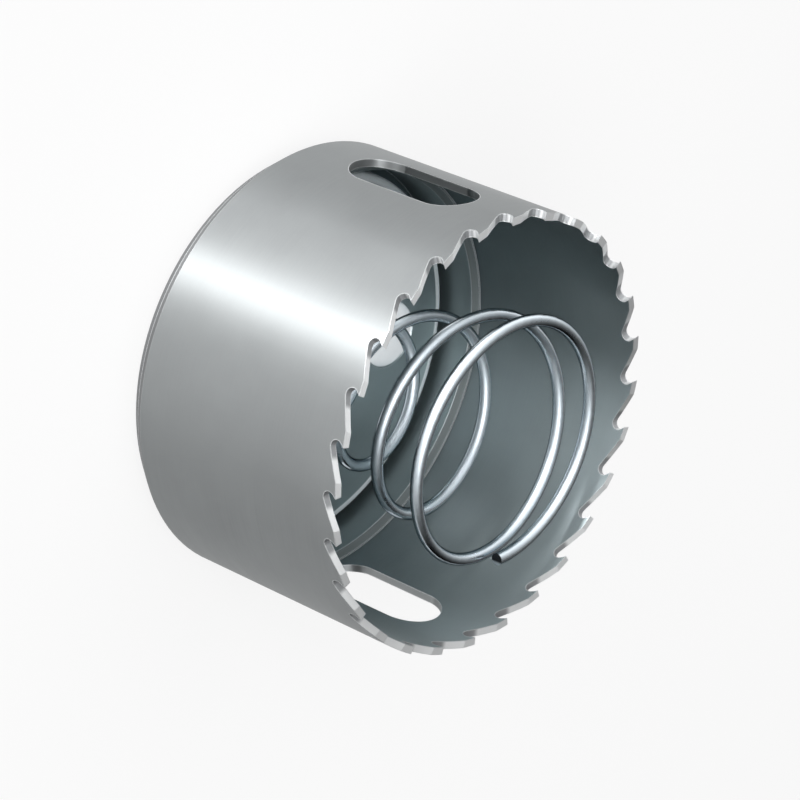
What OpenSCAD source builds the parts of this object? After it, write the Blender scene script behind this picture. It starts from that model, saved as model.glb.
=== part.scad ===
// Hole saw: a toothed steel band welded round a thick back plate, with a conical ejector spring.
// It stands on its back plate, which lies at Z = 0, with the teeth pointing up. Sizes in millimetres.

/* [Toothed band] */
// Cutting diameter over the band
saw_d = 68; // [60:1:90]
// Height from the back face to the tooth tips
saw_h = 42; // [38:1:60]
// Thickness of the band
band_t = 1.2; // [1:0.1:1.6]

/* [Teeth] */
// Number of teeth round the rim
tooth_count = 28; // [18:1:36]
// Depth of the gullets below the tooth tips
gullet_depth = 2.3; // [2.1:0.1:3.4]
// Radius of the rounded gullet under each tooth face
gullet_r = 1; // [0.5:0.05:1.1]
// Hook angle of the tooth face
rake_angle = 40; // [0:1:42]
// Flat left on each tooth tip by the grinding
tip_land = 0.15; // [0.1:0.05:0.3]
// Length of the ground relief behind each tip
relief_len = 2; // [1:0.1:2.6]
// Fall of the ground relief
relief_angle = 6; // [4:1:16]
// Turn of the whole ring of teeth past the middle of the slots
tooth_turn = 0.5; // [0:0.1:6]

/* [Plug slots] */
// Number of slots through the band, for prising the cut plug out
slot_count = 2; // [2:1:4]
// Width of each slot
slot_w = 10; // [6:0.2:14]
// Length of each slot along the saw, over its round ends
slot_len = 22.2; // [16:0.2:24]
// Band left between the back plate's rim and the slots' lower ends
slot_gap = 0.4; // [0.3:0.1:2]

/* [Back plate] */
// Thickness of the plate at its raised middle
plate_t = 5.5; // [4.5:0.5:7]
// Thickness of the plate under the groove round its edge
floor_t = 2.8; // [2.4:0.1:3.4]
// Width of that groove, between the raised middle and the rim
groove_w = 1.55; // [0.8:0.05:2.5]
// Radius of the rounded edge of the raised middle
middle_edge_r = 0.8; // [0.3:0.1:0.9]
// Thickness of the plate's upstanding rim
rim_t = 1.2; // [1:0.1:1.5]
// Height of the rim's top above the back face
rim_h = 11.3; // [9:0.1:11.6]
// Size of the bevel on the inner edge of the rim's top
rim_bevel = 0.9; // [0.5:0.1:0.9]
// Radial width of the chamfer round the back edge
back_chamfer_w = 2.3; // [1.8:0.1:2.8]
// Height of the chamfer round the back edge
back_chamfer_h = 3.2; // [2.6:0.1:3.8]
// Radial gap between the band and the plate that the weld closes
weld_gap = 0.05; // [0.02:0.01:0.1]

/* [Arbor fixing] */
// Diameter of the arbor hole, five eighths of an inch
arbor_d = 15.88; // [10:0.02:16]
// Countersink at both mouths of the arbor hole
arbor_bevel = 0.6; // [0.3:0.1:1]
// Number of drive-pin holes, set between the slots
pin_hole_count = 2; // [2:1:4]
// Diameter of the drive-pin holes
pin_hole_d = 10.6; // [6:0.2:12]
// Diameter of the circle that the drive-pin holes lie on
pin_circle_d = 35.6; // [34:0.2:40]
// Bevel at both mouths of the drive-pin holes
pin_hole_bevel = 0.2; // [0.1:0.1:0.6]

/* [Ejector spring] */
// Diameter of the spring wire
wire_d = 1.9; // [1:0.1:2.2]
// Diameter of the large open end, between wire centres
spring_top_d = 37.5; // [32:0.5:42]
// Flat left between the arbor hole's countersink and the small end of the wire
spring_margin = 0.1; // [0:0.05:1]
// Height of the wire's centre at the large end above the tooth tips
spring_reach = 2.8; // [0:0.2:5]
// Turns of the spring from end to end
spring_turns = 4.9; // [4.6:0.1:5.4]
// Turns at the large end before the wire runs down at its full pitch
open_turns = 0.8; // [0.6:0.05:1]
// Turns at the small end that lie closed on the plate
closed_turns = 0.75; // [0.6:0.05:1]
// Turns at the large end that keep the full diameter
wide_turns = 1.05; // [0.8:0.05:1.3]
// Turns between the end of the taper and the small end of the wire
narrow_turns = 1.35; // [1:0.05:1.6]
// Gap left between the spring and the plate that it rests on
spring_seat_gap = 0.05; // [0.02:0.01:0.1]
// Sides of the wire's section
wire_sides = 10; // [8:1:12]
// Rings of the wire in each turn
rings_per_turn = 28; // [20:1:32]

/* [Hidden] */
$fn = 96;

saw_r = saw_d / 2;
band_in_r = saw_r - band_t;
cut_over = 2;

// Teeth, laid out flat: U runs along the rim from the tip, V up from the tip
tooth_angle = 360 / tooth_count;
tooth_step = (saw_r - band_t / 2) * sin(tooth_angle);
relief_u = tooth_step - tip_land - relief_len * cos(relief_angle);
relief_v = -relief_len * sin(relief_angle);
relief_over = 0.5;
// The band's butt joint lies between two slots, in the flank of a tooth
seam_angle = tooth_turn + tooth_angle * (round(180 / slot_count / tooth_angle) + 0.4);
// The gullet's circle touches the face line, which leans back under the tip
gullet_v = gullet_r - gullet_depth;
gullet_u = gullet_v * tan(rake_angle) + gullet_r / cos(rake_angle);
// The flank runs from the relief down to the underside of the gullet's circle
flank_run = norm([relief_u - gullet_u, relief_v - gullet_v]);
flank_angle = atan2(relief_v - gullet_v, relief_u - gullet_u) + asin(gullet_r / flank_run);
flank_top_u = relief_u + (cut_over - relief_v) / tan(flank_angle);
gullet_steps = 8;

// Plate
plate_r = band_in_r - weld_gap;
rim_in_r = plate_r - rim_t;
middle_r = rim_in_r - groove_w;
slot_z = rim_h + slot_gap;
back_face_r = saw_r - back_chamfer_w;
chamfer_slope = back_chamfer_h / back_chamfer_w;

// Spring
wire_r = wire_d / 2;
spring_top_z = saw_h + spring_reach;
spring_end_z = plate_t + spring_seat_gap + wire_r;
spring_top_r = spring_top_d / 2;
spring_end_r = arbor_d / 2 + arbor_bevel + spring_margin + wire_r;
ring_count = ceil(spring_turns * rings_per_turn);
// The wire eases from level to full pitch over this many turns at each end
ease_turns = 0.9;
fall_start = open_turns - ease_turns / 2;
fall_end = spring_turns - closed_turns + ease_turns / 2;
fall_per_turn = (spring_top_z - spring_end_z) / (fall_end - fall_start - ease_turns);
taper_end = spring_turns - narrow_turns;

// Share of the ease that is used up at a number of turns past its start
function eased(turns) = min(max(turns, 0), ease_turns) ^ 2 / (2 * ease_turns) + max(turns - ease_turns, 0);

// Height of the wire's centre at a number of turns from the large end
function wire_z(turns) =
    spring_top_z - fall_per_turn * (eased(turns - fall_start) - eased(turns - fall_end + ease_turns));

// Distance of the wire's centre from the axis
function wire_run(turns) =
    let (share = min(max((turns - wide_turns) / (taper_end - wide_turns), 0), 1))
    spring_top_r + (spring_end_r - spring_top_r) * share;

function wire_point(turns) =
    [wire_run(turns) * cos(360 * turns), wire_run(turns) * sin(360 * turns), wire_z(turns)];

function unit(v) = v / norm(v);

// One ring of the wire's skin, square to the wire
function wire_ring(turns) =
    let (
        step = 0.001,
        along = unit(wire_point(turns + step) - wire_point(turns - step)),
        out = [cos(360 * turns), sin(360 * turns), 0],
        side = unit(out - (out * along) * along),
        up = cross(along, side)
    )
    [for (i = [0 : wire_sides - 1])
        wire_point(turns) + wire_r * (cos(360 * i / wire_sides) * side + sin(360 * i / wire_sides) * up)];

// The hooked face of one tooth, its round gullet and the flank of the next tooth
module gullet_space() {
    arc_start = 180 - rake_angle;
    arc_end = 270 + flank_angle;
    gullet_arc = [for (i = [0 : gullet_steps])
        let (a = arc_start + (arc_end - arc_start) * i / gullet_steps)
        [gullet_u + gullet_r * cos(a), gullet_v + gullet_r * sin(a)]];
    polygon(concat([[cut_over * tan(rake_angle), cut_over]], gullet_arc, [[flank_top_u, cut_over]]));
}

// The ground relief behind the same tip
module relief_space() {
    relief_start_u = -tip_land + relief_over * cos(relief_angle);
    relief_start_v = relief_over * sin(relief_angle);
    relief_end_u = -tip_land - (relief_len + relief_over) * cos(relief_angle);
    relief_end_v = -(relief_len + relief_over) * sin(relief_angle);
    polygon([
        [relief_start_u, cut_over], [relief_start_u, relief_start_v],
        [relief_end_u, relief_end_v], [relief_end_u, cut_over]
    ]);
}

// The flat outline of a plug slot, standing on its lower end
module slot_outline() {
    union() {
        translate([0, slot_w / 2]) circle(slot_w / 2);
        translate([0, slot_len - slot_w / 2]) circle(slot_w / 2);
        translate([-slot_w / 2, slot_w / 2]) square([slot_w, slot_len - slot_w]);
    }
}

// Pushes a flat outline through the band at +X, with its upright axis along Z
module through_band() {
    translate([band_in_r - cut_over, 0, 0])
        rotate([90, 0, 90])
        linear_extrude(band_t + 2 * cut_over)
        children();
}

module band_blank() {
    rotate([0, 0, seam_angle])
        rotate_extrude()
        polygon([
            [band_in_r, back_chamfer_h - band_t * chamfer_slope], [saw_r, back_chamfer_h],
            [saw_r, saw_h], [band_in_r, saw_h]
        ]);
}

module toothed_band() {
    color([0.66, 0.68, 0.70])
    difference() {
        band_blank();
        for (i = [0 : tooth_count - 1])
            rotate([0, 0, tooth_turn + tooth_angle * i])
            translate([0, 0, saw_h]) {
                through_band() gullet_space();
                through_band() relief_space();
            }
        for (i = [0 : slot_count - 1])
            rotate([0, 0, 360 * i / slot_count])
            translate([0, 0, slot_z])
            through_band()
            slot_outline();
    }
}

// Half of the plate's section, from the axis out to the rim
module plate_section() {
    union() {
        polygon([
            [0, 0], [back_face_r, 0], [plate_r, (plate_r - back_face_r) * chamfer_slope],
            [plate_r, rim_h], [rim_in_r + rim_bevel, rim_h], [rim_in_r, rim_h - rim_bevel],
            [rim_in_r, floor_t], [0, floor_t]
        ]);
        square([middle_r - middle_edge_r, plate_t]);
        square([middle_r, plate_t - middle_edge_r]);
        translate([middle_r - middle_edge_r, plate_t - middle_edge_r]) circle(middle_edge_r, $fn = 32);
    }
}

// A hole through the plate with a bevel at both mouths
module bevelled_hole(hole_r, bevel) {
    translate([0, 0, -cut_over]) cylinder(r = hole_r, h = plate_t + 2 * cut_over);
    translate([0, 0, -cut_over])
        cylinder(r1 = hole_r + bevel + cut_over, r2 = hole_r, h = cut_over + bevel);
    translate([0, 0, plate_t - bevel])
        cylinder(r1 = hole_r, r2 = hole_r + bevel + cut_over, h = cut_over + bevel);
}

module back_plate() {
    color([0.42, 0.45, 0.47])
    difference() {
        rotate_extrude() plate_section();
        bevelled_hole(arbor_d / 2, arbor_bevel);
        for (i = [0 : pin_hole_count - 1])
            rotate([0, 0, 360 * (i + 0.5) / pin_hole_count])
            translate([pin_circle_d / 2, 0, 0])
            bevelled_hole(pin_hole_d / 2, pin_hole_bevel);
    }
}

module ejector_spring() {
    skin = [for (k = [0 : ring_count]) each wire_ring(spring_turns * k / ring_count)];
    top_end = [for (i = [0 : wire_sides - 1]) i];
    low_end = [for (i = [wire_sides - 1 : -1 : 0]) ring_count * wire_sides + i];
    walls = [for (k = [0 : ring_count - 1], i = [0 : wire_sides - 1])
        let (j = (i + 1) % wire_sides, a = k * wire_sides, b = (k + 1) * wire_sides)
        each [[a + i, b + i, b + j], [a + i, b + j, a + j]]];
    color([0.74, 0.77, 0.80])
    polyhedron(points = skin, faces = concat([top_end, low_end], walls));
}

toothed_band();
back_plate();
ejector_spring();
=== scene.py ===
from math import cos, pi, radians, sin

import bpy
from mathutils import Matrix, Vector


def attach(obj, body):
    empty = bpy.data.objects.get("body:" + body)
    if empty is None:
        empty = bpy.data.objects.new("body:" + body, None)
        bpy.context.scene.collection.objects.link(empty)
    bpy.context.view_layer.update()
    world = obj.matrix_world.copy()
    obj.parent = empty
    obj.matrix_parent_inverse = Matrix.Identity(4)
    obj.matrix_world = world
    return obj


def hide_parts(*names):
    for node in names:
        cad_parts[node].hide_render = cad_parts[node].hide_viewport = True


MM = 0.001
PER_METRE = 1000.0
MERGE_DISTANCE = 1e-6

# The photograph's view: where the camera looks, from how far, and how it is turned
CAMERA_AIM = (-0.588 * MM, -1.391 * MM, 27.747 * MM)
CAMERA_DISTANCE = 500.0 * MM
CAMERA_AZIMUTH = radians(-28.51)
CAMERA_HEIGHT = radians(36.048)
CAMERA_ROLL = radians(112.682)
CAMERA_LENS = 152.04
CAMERA_SENSOR = 36.0
CAMERA_SHIFT = (-0.01834, 0.00654)
CAMERA_CLIP = (0.01, 20.0)

# The studio's pale floor, and the share of plain white that the camera and the steel see in it
FLOOR_SIZE = 8.0
FLOOR_COLOUR = 0.9
FLOOR_ROUGHNESS = 0.9
FLOOR_SPECULAR = 0.1
FLOOR_WHITE_SHARE = 0.82

# The studio's sky: bright on one side, dark on the other, and weaker overhead.
# The pairs say how far a direction points to the bright side, or up, where each change begins and ends.
SKY_BRIGHT_SIDE = 178.0
SKY_BRIGHT = 1.58
SKY_DARK = 0.0
SKY_SIDES = (-0.9, 0.9)
SKY_OVERHEAD = 0.28
SKY_RISE = (0.1, 0.75)

# The four soft lamps: width, height, watts, azimuth and height in degrees, and distance.
# The two low ones light the outer wall, because they barely see over the teeth.
LAMPS = {
    "key": (0.9, 0.9, 1.5, -175.0, 50.0, 1.1),
    "cup_light": (1.1, 0.6, 9.4, -99.0, 50.0, 1.2),
    "wall_light": (0.24, 0.08, 11.2, -136.5, 2.4, 1.2),
    "wall_fill": (0.7, 0.08, 3.4, -166.0, 2.4, 1.2),
}
LAMP_AIM = Vector((0.0, 0.0, 0.02))

# The band's wall, and where its slots end below the teeth, the same as the solid's
WALL_RADIUS = 34.0 * MM
WALL_THICKNESS = 1.2 * MM
CUP_RADIUS = WALL_RADIUS - WALL_THICKNESS
SLOT_TOP_HEIGHT = 34.0 * MM
GULLET_TOP = 40.6 * MM

# The back plate's groove floor, raised middle, rim and drive-pin holes, the same as the solid's
PLATE_FLOOR = 2.8 * MM
EDGE_RADIUS = 30.0 * MM
RIM_RADIUS = 31.55 * MM
PIN_HOLE_PLACE = 17.8 * MM
PIN_HOLE_RADIUS = 5.3 * MM

# The chamfer round the back edge, which runs over the plate and the band
CHAMFER_RADIUS = 31.75 * MM
CHAMFER_COLOUR = (0.20, 0.205, 0.21)

# Radii and heights on the band between which each face's own finish or its painted shade sets in
CUP_SHADE_AND_FINISH = (CUP_RADIUS + 0.02 * MM, CUP_RADIUS)
CUP_SHADE_DEPTH = (8.0 * MM, 42.0 * MM)
BAND_CHAMFER_BELOW = (3.25 * MM, 3.15 * MM)
BAND_CHAMFER_WITHIN = (WALL_RADIUS - 0.02 * MM, WALL_RADIUS - 0.05 * MM)
CUT_OUT_FROM_CUP = (CUP_RADIUS + 0.02 * MM, CUP_RADIUS + 0.06 * MM)
CUT_IN_FROM_WALL = (WALL_RADIUS - 0.02 * MM, WALL_RADIUS - 0.06 * MM)
TEETH_ABOVE = (SLOT_TOP_HEIGHT, SLOT_TOP_HEIGHT + 1.0 * MM)
GULLET_SHADE_BELOW = (GULLET_TOP, GULLET_TOP - 0.4 * MM)

# The same on the back plate, with its painted highlight, painted shade and painted light
EDGE_ABOVE = (PLATE_FLOOR + 0.3 * MM, PLATE_FLOOR + 1.0 * MM)
EDGE_OUT_FROM = (EDGE_RADIUS - 1.5 * MM, EDGE_RADIUS - 1.2 * MM)
EDGE_IN_FROM = (EDGE_RADIUS + 0.3 * MM, EDGE_RADIUS)
GROOVE_OUT_FROM = (EDGE_RADIUS - 0.02 * MM, EDGE_RADIUS)
RIM_OUT_FROM = (RIM_RADIUS + 0.02 * MM, RIM_RADIUS + 0.06 * MM)
PIN_BORE_WITHIN = (PIN_HOLE_RADIUS + 0.1 * MM, PIN_HOLE_RADIUS + 0.02 * MM)
PLATE_CHAMFER_BELOW = (PLATE_FLOOR, PLATE_FLOOR - 0.1 * MM)
PLATE_CHAMFER_OUT_FROM = (CHAMFER_RADIUS - 0.1 * MM, CHAMFER_RADIUS)

# What turning and handling leave on the steel, and its painted edge highlight: the range that noise
# fills, how fast the lines change round the axis, and how far an edge bends, as a cosine, where the
# painted highlight and wear begin and are full
NOISE_RANGE = (0.3, 0.7)
LINE_DRIFT = 60.0
FINE_NOISE = {"Detail": 3.0, "Roughness": 0.6}
BLOTCH_NOISE = {"Detail": 4.0, "Roughness": 0.55}
EDGE_LIGHT_AND_WEAR_SAMPLES = 6
EDGE_LIGHT_AND_WEAR_BEND = (0.995, 0.82)
QUARTER_TURN = 0.25

# The band's satin steel
BAND_STRETCH = 0.83
WALL_COLOUR = (0.33, 0.345, 0.35)
# Painted shade in the cup: darkest and bluest deep down, lighter towards the teeth
CUP_DEEP_SHADE_COLOUR = (0.24, 0.285, 0.30)
CUP_TOP_SHADE_COLOUR = (0.42, 0.48, 0.495)
TOOTH_COLOUR = (0.86, 0.875, 0.88)
# Painted shade in the gullets below the teeth
GULLET_SHADE_COLOUR = (0.34, 0.35, 0.36)
# Painted highlight, partly handling wear, on the band's sharp edges
BAND_EDGE_HIGHLIGHT_COLOUR = (0.85, 0.87, 0.88)
BAND_BLOTCHES = (0.96, 1.03)
BAND_ROUGHNESS = (0.45, 0.52)
CUP_EXTRA_ROUGHNESS = 0.03
TOOTH_METALLIC = 0.65
BAND_LINE_DEPTH = 0.0015 * MM

# The back plate's turned steel
PLATE_STRETCH = 0.4
PLATE_COLOURS = ((0.41, 0.48, 0.495), (0.50, 0.575, 0.59))
# Painted highlight on the raised middle's rounded edge, with a lower metallic there
FILLET_HIGHLIGHT_COLOUR = (0.85, 0.90, 0.92)
# Painted shade in the groove and on the rim
GROOVE_SHADE_COLOUR = (0.31, 0.355, 0.365)
RIM_SHADE_COLOUR = (0.27, 0.30, 0.305)
# Painted light on the drive-pin holes' bores
PIN_BORE_LIGHT_COLOUR = (0.80, 0.84, 0.86)
# Painted highlight, partly handling wear, on the plate's sharp edges
PLATE_EDGE_HIGHLIGHT_COLOUR = (0.8, 0.83, 0.85)
PLATE_ROUGHNESS = (0.36, 0.44)
RIM_EXTRA_ROUGHNESS = 0.35
FILLET_HIGHLIGHT_METALLIC = 0.4
PLATE_LINE_DEPTH = 0.002 * MM

# The spring's drawn wire, darker and glossier where it turns away, and its dark cut end
WIRE_COLOURS = ((0.72, 0.80, 0.86), (0.80, 0.88, 0.93))
WIRE_GLANCING_TINT = (0.0, 0.01, 0.02, 1.0)
WIRE_ROUGHNESS = (0.45, 0.51)
WIRE_TURNS_AWAY = (0.15, 0.6)
WIRE_AWAY_ROUGHNESS = (1.0, 0.3)
WIRE_GRAIN_SCALE = 1500.0
WIRE_GRAIN_DEPTH = 0.0004 * MM
CUT_END_COLOUR = (0.05, 0.055, 0.06)
CUT_END_WITHIN = (1.3 * MM, 1.2 * MM)
CUT_END_PLANE = (0.03 * MM, 0.01 * MM)

# The ejector spring's path, the same as the solid's: a level turn at each end and a cone between
WIRE_DIAMETER = 1.9 * MM
SPRING_TOP_RADIUS = 18.75 * MM
SPRING_TOP_HEIGHT = 44.8 * MM
SPRING_END_RADIUS = 9.59 * MM
SPRING_END_HEIGHT = 6.5 * MM
SPRING_TURNS = 4.9
EASE_TURNS = 0.9
FALL_START = 0.8 - EASE_TURNS / 2
FALL_END = SPRING_TURNS - 0.75 + EASE_TURNS / 2
TAPER_START = 1.05
TAPER_END = SPRING_TURNS - 1.35
STEPS_PER_TURN = 64
WIRE_ROUNDNESS = 6
WIRE_SHARP_ANGLE = radians(40.0)

# The arbor hole's thread, eighteen ridges to the inch, between the countersinks of its two mouths
THREAD_PITCH = 25.4 / 18.0 * MM
THREAD_TURNS = 2.8
THREAD_BOTTOM = 0.8 * MM
THREAD_ROOT_RADIUS = 7.96 * MM
THREAD_DEPTH = 0.75 * MM
THREAD_SHARP_ANGLE = radians(30.0)

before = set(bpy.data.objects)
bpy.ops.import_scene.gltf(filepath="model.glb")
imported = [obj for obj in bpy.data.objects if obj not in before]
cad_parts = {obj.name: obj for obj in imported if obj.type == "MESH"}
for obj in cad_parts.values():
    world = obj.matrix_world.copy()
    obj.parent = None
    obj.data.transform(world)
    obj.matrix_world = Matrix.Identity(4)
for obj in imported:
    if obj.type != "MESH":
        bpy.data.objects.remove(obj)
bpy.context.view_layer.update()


def direction(azimuth, height):
    """Unit vector towards an azimuth and a height above the floor, both in degrees"""
    a, h = radians(azimuth), radians(height)
    return Vector((cos(a) * cos(h), sin(a) * cos(h), sin(h)))


def add_camera():
    data = bpy.data.cameras.new("camera")
    data.lens = CAMERA_LENS
    data.sensor_width = CAMERA_SENSOR
    data.shift_x, data.shift_y = CAMERA_SHIFT
    data.clip_start, data.clip_end = CAMERA_CLIP
    camera = bpy.data.objects.new("camera", data)
    bpy.context.scene.collection.objects.link(camera)
    turn = (
        Matrix.Rotation(CAMERA_AZIMUTH, 4, "Z")
        @ Matrix.Rotation(radians(90.0) - CAMERA_HEIGHT, 4, "X")
        @ Matrix.Rotation(CAMERA_ROLL, 4, "Z")
    )
    back = turn @ Vector((0.0, 0.0, 1.0))
    camera.matrix_world = Matrix.Translation(Vector(CAMERA_AIM) + back * CAMERA_DISTANCE) @ turn
    bpy.context.scene.camera = camera


def add_node(tree, kind, settings=None, **inputs):
    """Adds a shader node; inputs are numbers or colours, or the sockets that feed them.
    An input is called by its name, with _ for a space, or by i and its number."""
    node = tree.nodes.new(kind)
    for name, value in (settings or {}).items():
        setattr(node, name, value)
    for name, value in inputs.items():
        socket = node.inputs[int(name[1:]) if name[1:].isdigit() else name.replace("_", " ")]
        if isinstance(value, bpy.types.NodeSocket):
            tree.links.new(value, socket)
        else:
            socket.default_value = value
    return node


def maths(tree, operation, a, b=0.0):
    return add_node(tree, "ShaderNodeMath", {"operation": operation}, i0=a, i1=b).outputs[0]


def both(tree, first, second):
    """Share of a surface that lies in two masks at once"""
    return maths(tree, "MULTIPLY", first, second)


def spread(tree, value, low, high, to_low=0.0, to_high=1.0):
    """Maps a range of values smoothly onto another"""
    node = add_node(
        tree, "ShaderNodeMapRange", {"interpolation_type": "SMOOTHSTEP"},
        Value=value, From_Min=low, From_Max=high, To_Min=to_low, To_Max=to_high,
    )
    return node.outputs[0]


def blend_colour(tree, share, first, second):
    node = tree.nodes.new("ShaderNodeMix")
    node.data_type = "RGBA"
    for socket, value in ((node.inputs[0], share), (node.inputs[6], first), (node.inputs[7], second)):
        if isinstance(value, bpy.types.NodeSocket):
            tree.links.new(value, socket)
        else:
            socket.default_value = (*value, 1.0) if isinstance(value, tuple) else value
    return node.outputs[2]


def place_on_piece(tree):
    """Place on the piece, as one vector and as its x, y and z"""
    place = add_node(tree, "ShaderNodeTexCoord").outputs["Object"]
    return place, *add_node(tree, "ShaderNodeSeparateXYZ", Vector=place).outputs


def distance_from_axis(tree, x, y):
    squares = maths(tree, "ADD", maths(tree, "MULTIPLY", x, x), maths(tree, "MULTIPLY", y, y))
    return maths(tree, "SQRT", squares)


def new_group(name, inputs, outputs):
    """Starts a shader node group; inputs are names with their values, outputs are names"""
    group = bpy.data.node_groups.new(name, "ShaderNodeTree")
    sockets = group.interface
    for socket, value in inputs.items():
        sockets.new_socket(socket, in_out="INPUT", socket_type="NodeSocketFloat").default_value = value
    for socket in outputs:
        sockets.new_socket(socket, in_out="OUTPUT", socket_type="NodeSocketFloat")
    return group, group.nodes.new("NodeGroupInput"), group.nodes.new("NodeGroupOutput")


def make_turning_lines():
    """Fine lines that run round the saw's axis, as turning and polishing leave them"""
    group, given, result = new_group(
        "turning_lines", {"Lines per mm": 12.0, "Blotch size mm": 9.0}, ("Lines", "Blotches")
    )
    place, x, y, z = place_on_piece(group)
    per_metre = maths(group, "MULTIPLY", given.outputs["Lines per mm"], PER_METRE)
    outward = maths(group, "MULTIPLY", distance_from_axis(group, x, y), per_metre)
    across = add_node(
        group, "ShaderNodeCombineXYZ",
        X=maths(group, "ADD", outward, maths(group, "MULTIPLY", x, LINE_DRIFT)),
        Y=maths(group, "MULTIPLY", z, per_metre),
        Z=maths(group, "MULTIPLY", y, LINE_DRIFT),
    ).outputs[0]
    lines = add_node(group, "ShaderNodeTexNoise", Vector=across, Scale=1.0, **FINE_NOISE)
    blotch_scale = maths(group, "DIVIDE", PER_METRE, given.outputs["Blotch size mm"])
    blotches = add_node(group, "ShaderNodeTexNoise", Vector=place, Scale=blotch_scale, **BLOTCH_NOISE)
    group.links.new(lines.outputs["Fac"], result.inputs["Lines"])
    group.links.new(blotches.outputs["Fac"], result.inputs["Blotches"])
    return group


def make_edge_highlight_and_wear():
    """Share of a surface that lies on a sharp edge, where a highlight is painted and handling polishes
    it
    """
    group, given, result = new_group("edge_highlight_and_wear", {"Width mm": 0.25}, ("Edge",))
    width = maths(group, "MULTIPLY", given.outputs["Width mm"], MM)
    rounded = add_node(group, "ShaderNodeBevel", {"samples": EDGE_LIGHT_AND_WEAR_SAMPLES}, Radius=width)
    flat = add_node(group, "ShaderNodeNewGeometry")
    match = add_node(
        group, "ShaderNodeVectorMath", {"operation": "DOT_PRODUCT"},
        i0=rounded.outputs[0], i1=flat.outputs["Normal"],
    )
    group.links.new(spread(group, match.outputs["Value"], *EDGE_LIGHT_AND_WEAR_BEND), result.inputs["Edge"])
    return group


def place_group(tree, group, **inputs):
    node = tree.nodes.new("ShaderNodeGroup")
    node.node_tree = group
    for name, value in inputs.items():
        node.inputs[name.replace("_", " ")].default_value = value
    return node


def new_steel(name, gleam_stretch=0.0):
    """A metal material, whose turning lines may stretch its gleam along the saw's axis"""
    material = bpy.data.materials.new(name)
    material.use_nodes = True
    tree = material.node_tree
    shader = tree.nodes["Principled BSDF"]
    shader.inputs["Metallic"].default_value = 1.0
    if gleam_stretch:
        shader.inputs["Anisotropic"].default_value = gleam_stretch
        shader.inputs["Anisotropic Rotation"].default_value = QUARTER_TURN
        tangent = add_node(tree, "ShaderNodeTangent", {"direction_type": "RADIAL", "axis": "Z"})
        tree.links.new(tangent.outputs[0], shader.inputs["Tangent"])
    return material, tree, shader


def add_relief(tree, shader, height, distance):
    bump = add_node(tree, "ShaderNodeBump", Height=height, Distance=distance, Strength=1.0)
    tree.links.new(bump.outputs[0], shader.inputs["Normal"])


def make_band_steel(turning_lines, edge_highlight_and_wear):
    """Satin outside; painted shade makes the cup darker and bluer and the gullets darker; brighter
    where the teeth are cut
    """
    material, tree, shader = new_steel("band_steel", BAND_STRETCH)
    lines = place_group(tree, turning_lines, Lines_per_mm=14.0, Blotch_size_mm=14.0)
    edge_light_and_wear = place_group(tree, edge_highlight_and_wear, Width_mm=0.3)
    _, x, y, height = place_on_piece(tree)
    radius = distance_from_axis(tree, x, y)
    # Painted shade in the cup, darkest deep down and lighter towards the teeth
    inside = spread(tree, radius, *CUP_SHADE_AND_FINISH)
    cup_shade = blend_colour(tree, spread(tree, height, *CUP_SHADE_DEPTH), CUP_DEEP_SHADE_COLOUR, CUP_TOP_SHADE_COLOUR)
    shade = blend_colour(tree, inside, WALL_COLOUR, cup_shade)
    chamfer = both(
        tree, spread(tree, height, *BAND_CHAMFER_BELOW), spread(tree, radius, *BAND_CHAMFER_WITHIN)
    )
    shade = blend_colour(tree, chamfer, shade, CHAMFER_COLOUR)
    cut = both(tree, spread(tree, radius, *CUT_OUT_FROM_CUP), spread(tree, radius, *CUT_IN_FROM_WALL))
    teeth = both(tree, cut, spread(tree, height, *TEETH_ABOVE))
    # Painted shade in the gullets
    gullet_shade = spread(tree, height, *GULLET_SHADE_BELOW)
    shade = blend_colour(tree, teeth, shade, blend_colour(tree, gullet_shade, TOOTH_COLOUR, GULLET_SHADE_COLOUR))
    # Painted highlight, partly wear, along sharp edges
    shade = blend_colour(tree, edge_light_and_wear.outputs["Edge"], shade, BAND_EDGE_HIGHLIGHT_COLOUR)
    blotches = spread(tree, lines.outputs["Blotches"], *NOISE_RANGE, *BAND_BLOTCHES)
    tinted = add_node(
        tree, "ShaderNodeMix", {"data_type": "RGBA", "blend_type": "MULTIPLY"},
        i0=1.0, i6=shade, i7=blotches,
    ).outputs[2]
    tree.links.new(tinted, shader.inputs["Base Color"])
    tree.links.new(spread(tree, teeth, 0.0, 1.0, 1.0, TOOTH_METALLIC), shader.inputs["Metallic"])
    gloss = spread(tree, lines.outputs["Lines"], *NOISE_RANGE, *BAND_ROUGHNESS)
    gloss = maths(tree, "ADD", gloss, maths(tree, "MULTIPLY", inside, CUP_EXTRA_ROUGHNESS))
    tree.links.new(gloss, shader.inputs["Roughness"])
    add_relief(tree, shader, lines.outputs["Lines"], BAND_LINE_DEPTH)
    return material


def distance_to_pin_hole(tree, x, y):
    """Distance from the axis of the nearer of the two drive-pin holes"""
    flat = add_node(tree, "ShaderNodeCombineXYZ", X=x, Y=y).outputs[0]
    first, second = (
        add_node(
            tree, "ShaderNodeVectorMath", {"operation": "DISTANCE"}, i0=flat, i1=(0.0, side, 0.0)
        ).outputs["Value"]
        for side in (PIN_HOLE_PLACE, -PIN_HOLE_PLACE)
    )
    return maths(tree, "MINIMUM", first, second)


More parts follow.
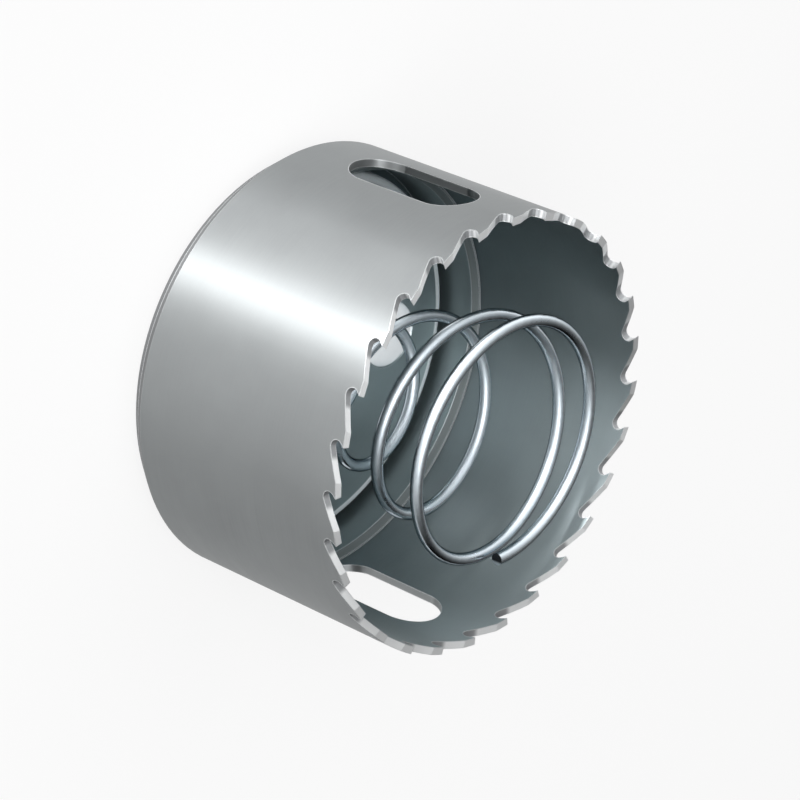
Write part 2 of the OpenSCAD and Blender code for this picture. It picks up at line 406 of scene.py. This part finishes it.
def make_plate_steel(turning_lines, edge_highlight_and_wear):
    """Turned face with a painted highlight on its rounded edge, painted shade in the groove and on the
    rim, and painted light in the pin holes
    """
    material, tree, shader = new_steel("plate_steel", PLATE_STRETCH)
    lines = place_group(tree, turning_lines, Lines_per_mm=3.0, Blotch_size_mm=11.0)
    edge_light_and_wear = place_group(tree, edge_highlight_and_wear, Width_mm=0.5)
    _, x, y, height = place_on_piece(tree)
    radius = distance_from_axis(tree, x, y)
    shade = blend_colour(tree, lines.outputs["Blotches"], *PLATE_COLOURS)
    # Painted highlight on the raised middle's rounded edge
    edge = both(tree, spread(tree, height, *EDGE_ABOVE), spread(tree, radius, *EDGE_OUT_FROM))
    fillet_highlight = both(tree, edge, spread(tree, radius, *EDGE_IN_FROM))
    shade = blend_colour(tree, fillet_highlight, shade, FILLET_HIGHLIGHT_COLOUR)
    # Painted shade in the groove and on the rim
    shade = blend_colour(tree, spread(tree, radius, *GROOVE_OUT_FROM), shade, GROOVE_SHADE_COLOUR)
    rim = spread(tree, radius, *RIM_OUT_FROM)
    shade = blend_colour(tree, rim, shade, RIM_SHADE_COLOUR)
    # Painted light on the pin holes' bores
    bore_light = spread(tree, distance_to_pin_hole(tree, x, y), *PIN_BORE_WITHIN)
    shade = blend_colour(tree, bore_light, shade, PIN_BORE_LIGHT_COLOUR)
    # Painted highlight, partly wear, along sharp edges
    shade = blend_colour(tree, edge_light_and_wear.outputs["Edge"], shade, PLATE_EDGE_HIGHLIGHT_COLOUR)
    chamfer = both(
        tree, spread(tree, height, *PLATE_CHAMFER_BELOW), spread(tree, radius, *PLATE_CHAMFER_OUT_FROM)
    )
    shade = blend_colour(tree, chamfer, shade, CHAMFER_COLOUR)
    tree.links.new(shade, shader.inputs["Base Color"])
    gloss = spread(tree, lines.outputs["Lines"], *NOISE_RANGE, *PLATE_ROUGHNESS)
    gloss = maths(tree, "ADD", gloss, maths(tree, "MULTIPLY", rim, RIM_EXTRA_ROUGHNESS))
    tree.links.new(gloss, shader.inputs["Roughness"])
    tree.links.new(spread(tree, fillet_highlight, 0.0, 1.0, 1.0, FILLET_HIGHLIGHT_METALLIC), shader.inputs["Metallic"])
    add_relief(tree, shader, lines.outputs["Lines"], PLATE_LINE_DEPTH)
    return material


def make_spring_wire():
    """Bright drawn wire with dark outlines and a dark face where it was cut at its upper end"""
    material, tree, shader = new_steel("spring_wire")
    place, _, y, _ = place_on_piece(tree)
    drawn = add_node(
        tree, "ShaderNodeTexNoise", Vector=place, Scale=WIRE_GRAIN_SCALE, **FINE_NOISE
    ).outputs["Fac"]
    shade = blend_colour(tree, drawn, *WIRE_COLOURS)
    from_end = add_node(
        tree, "ShaderNodeVectorMath", {"operation": "DISTANCE"},
        i0=place, i1=(SPRING_TOP_RADIUS, 0.0, SPRING_TOP_HEIGHT),
    ).outputs["Value"]
    cut_end = both(tree, spread(tree, from_end, *CUT_END_WITHIN), spread(tree, y, *CUT_END_PLANE))
    shade = blend_colour(tree, cut_end, shade, CUT_END_COLOUR)
    tree.links.new(shade, shader.inputs["Base Color"])
    shader.inputs["Specular Tint"].default_value = WIRE_GLANCING_TINT
    turned_away = add_node(tree, "ShaderNodeLayerWeight", Blend=0.5).outputs["Facing"]
    gloss = spread(tree, drawn, *NOISE_RANGE, *WIRE_ROUGHNESS)
    away = spread(tree, turned_away, *WIRE_TURNS_AWAY, *WIRE_AWAY_ROUGHNESS)
    tree.links.new(maths(tree, "MULTIPLY", gloss, away), shader.inputs["Roughness"])
    add_relief(tree, shader, drawn, WIRE_GRAIN_DEPTH)
    return material


def add_floor():
    bpy.ops.object.select_all(action="DESELECT")
    bpy.ops.mesh.primitive_plane_add(size=FLOOR_SIZE, location=(0.0, 0.0, 0.0))
    floor = bpy.context.object
    floor.name = "floor"
    material = bpy.data.materials.new("floor")
    material.use_nodes = True
    tree = material.node_tree
    shader = tree.nodes["Principled BSDF"]
    shader.inputs["Base Color"].default_value = (FLOOR_COLOUR, FLOOR_COLOUR, FLOOR_COLOUR, 1.0)
    shader.inputs["Roughness"].default_value = FLOOR_ROUGHNESS
    shader.inputs["Specular IOR Level"].default_value = FLOOR_SPECULAR
    ray = add_node(tree, "ShaderNodeLightPath").outputs
    mirrored = maths(tree, "MAXIMUM", ray["Is Glossy Ray"], ray["Is Transmission Ray"])
    seen = maths(tree, "MAXIMUM", ray["Is Camera Ray"], mirrored)
    share = maths(tree, "MULTIPLY", seen, FLOOR_WHITE_SHARE)
    white = add_node(tree, "ShaderNodeEmission", Strength=1.0).outputs[0]
    mixed = add_node(tree, "ShaderNodeMixShader", Fac=share, i1=shader.outputs[0], i2=white).outputs[0]
    tree.links.new(mixed, tree.nodes["Material Output"].inputs["Surface"])
    floor.data.materials.append(material)


def add_sky():
    world = bpy.data.worlds.new("studio")
    world.use_nodes = True
    tree = world.node_tree
    sky = tree.nodes["Background"]
    look = add_node(tree, "ShaderNodeTexCoord").outputs["Generated"]
    side = add_node(
        tree, "ShaderNodeVectorMath", {"operation": "DOT_PRODUCT"},
        i0=look, i1=tuple(direction(SKY_BRIGHT_SIDE, 0.0)),
    ).outputs["Value"]
    rise = add_node(tree, "ShaderNodeSeparateXYZ", Vector=look).outputs["Z"]
    level = spread(tree, side, *SKY_SIDES, SKY_DARK, SKY_BRIGHT)
    level = maths(tree, "MULTIPLY", level, spread(tree, rise, *SKY_RISE, 1.0, SKY_OVERHEAD))
    tree.links.new(level, sky.inputs["Strength"])
    sky.inputs["Color"].default_value = (1.0, 1.0, 1.0, 1.0)
    bpy.context.scene.world = world


def add_lamps():
    for name, (width, height, watts, azimuth, rise, distance) in LAMPS.items():
        data = bpy.data.lights.new(name, "AREA")
        data.shape = "RECTANGLE"
        data.size = width
        data.size_y = height
        data.energy = watts
        lamp = bpy.data.objects.new(name, data)
        place = direction(azimuth, rise) * distance
        lamp.location = place
        lamp.rotation_mode = "QUATERNION"
        lamp.rotation_quaternion = (LAMP_AIM - place).to_track_quat("-Z", "Y")
        bpy.context.scene.collection.objects.link(lamp)


def eased(turns):
    """Turns of fall, for a fall that starts level and is at its full slope after the ease turns"""
    return min(max(turns, 0.0), EASE_TURNS) ** 2 / (2 * EASE_TURNS) + max(turns - EASE_TURNS, 0.0)


def wire_point(turns):
    """Centre of the spring's wire at a number of turns from its large end"""
    fall_per_turn = (SPRING_TOP_HEIGHT - SPRING_END_HEIGHT) / (FALL_END - FALL_START - EASE_TURNS)
    fallen = eased(turns - FALL_START) - eased(turns - FALL_END + EASE_TURNS)
    share = min(max((turns - TAPER_START) / (TAPER_END - TAPER_START), 0.0), 1.0)
    radius = SPRING_TOP_RADIUS + (SPRING_END_RADIUS - SPRING_TOP_RADIUS) * share
    height = SPRING_TOP_HEIGHT - fall_per_turn * fallen
    return (radius * cos(2 * pi * turns), radius * sin(2 * pi * turns), height)


def make_spring():
    """Smooth round wire along the spring's path, in place of the solid's ten flat sides"""
    count = round(SPRING_TURNS * STEPS_PER_TURN)
    path = bpy.data.curves.new("ejector_spring_wire", "CURVE")
    path.dimensions = "3D"
    path.bevel_depth = WIRE_DIAMETER / 2
    path.bevel_resolution = WIRE_ROUNDNESS
    path.use_fill_caps = True
    run = path.splines.new("POLY")
    run.points.add(count)
    for step in range(count + 1):
        run.points[step].co = (*wire_point(SPRING_TURNS * step / count), 1.0)
    wire = bpy.data.objects.new("ejector_spring_wire", path)
    bpy.context.scene.collection.objects.link(wire)
    bpy.ops.object.select_all(action="DESELECT")
    wire.select_set(True)
    bpy.context.view_layer.objects.active = wire
    bpy.ops.object.convert(target="MESH")
    bpy.ops.object.mode_set(mode="EDIT")
    bpy.ops.mesh.select_all(action="SELECT")
    bpy.ops.mesh.remove_doubles(threshold=MERGE_DISTANCE)
    bpy.ops.mesh.normals_make_consistent(inside=False)
    bpy.ops.object.mode_set(mode="OBJECT")
    bpy.ops.object.shade_smooth_by_angle(angle=WIRE_SHARP_ANGLE)
    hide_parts("ejector_spring")
    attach(wire, "root")
    return wire


def make_arbor_thread():
    """One three-cornered ridge, swept round and up the arbor hole and closed at its ends"""
    corner = THREAD_DEPTH / 1.5  # an even triangle is 1.5 times as high as its corners are far out
    bpy.ops.object.select_all(action="DESELECT")
    bpy.ops.mesh.primitive_circle_add(
        vertices=3, radius=corner, location=(THREAD_ROOT_RADIUS - corner / 2, 0.0, THREAD_BOTTOM),
        rotation=(radians(90.0), radians(-90.0), 0.0),
    )
    thread = bpy.context.object
    thread.name = "arbor_thread"
    bpy.ops.object.transform_apply(location=True, rotation=True, scale=True)
    sweep = thread.modifiers.new("sweep", "SCREW")
    sweep.angle = 2 * pi * THREAD_TURNS
    sweep.screw_offset = THREAD_PITCH * THREAD_TURNS
    sweep.steps = sweep.render_steps = round(THREAD_TURNS * STEPS_PER_TURN)
    sweep.use_smooth_shade = False
    bpy.ops.object.modifier_apply(modifier=sweep.name)
    bpy.ops.object.mode_set(mode="EDIT")
    bpy.ops.mesh.select_all(action="SELECT")
    bpy.ops.mesh.remove_doubles(threshold=MERGE_DISTANCE)
    bpy.ops.mesh.fill_holes(sides=3)
    bpy.ops.mesh.normals_make_consistent(inside=False)
    bpy.ops.object.mode_set(mode="OBJECT")
    bpy.ops.object.shade_smooth_by_angle(angle=THREAD_SHARP_ANGLE)
    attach(thread, "root")
    return thread


def finish_node(node, material):
    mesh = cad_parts[node].data
    mesh.materials.clear()
    mesh.materials.append(material)


add_camera()
add_floor()
add_sky()
add_lamps()
turning_lines = make_turning_lines()
edge_highlight_and_wear = make_edge_highlight_and_wear()
finish_node("toothed_band", make_band_steel(turning_lines, edge_highlight_and_wear))
plate_steel = make_plate_steel(turning_lines, edge_highlight_and_wear)
finish_node("back_plate", plate_steel)
make_arbor_thread().data.materials.append(plate_steel)
make_spring().data.materials.append(make_spring_wire())

scene = bpy.context.scene
scene.view_settings.view_transform = "Standard"
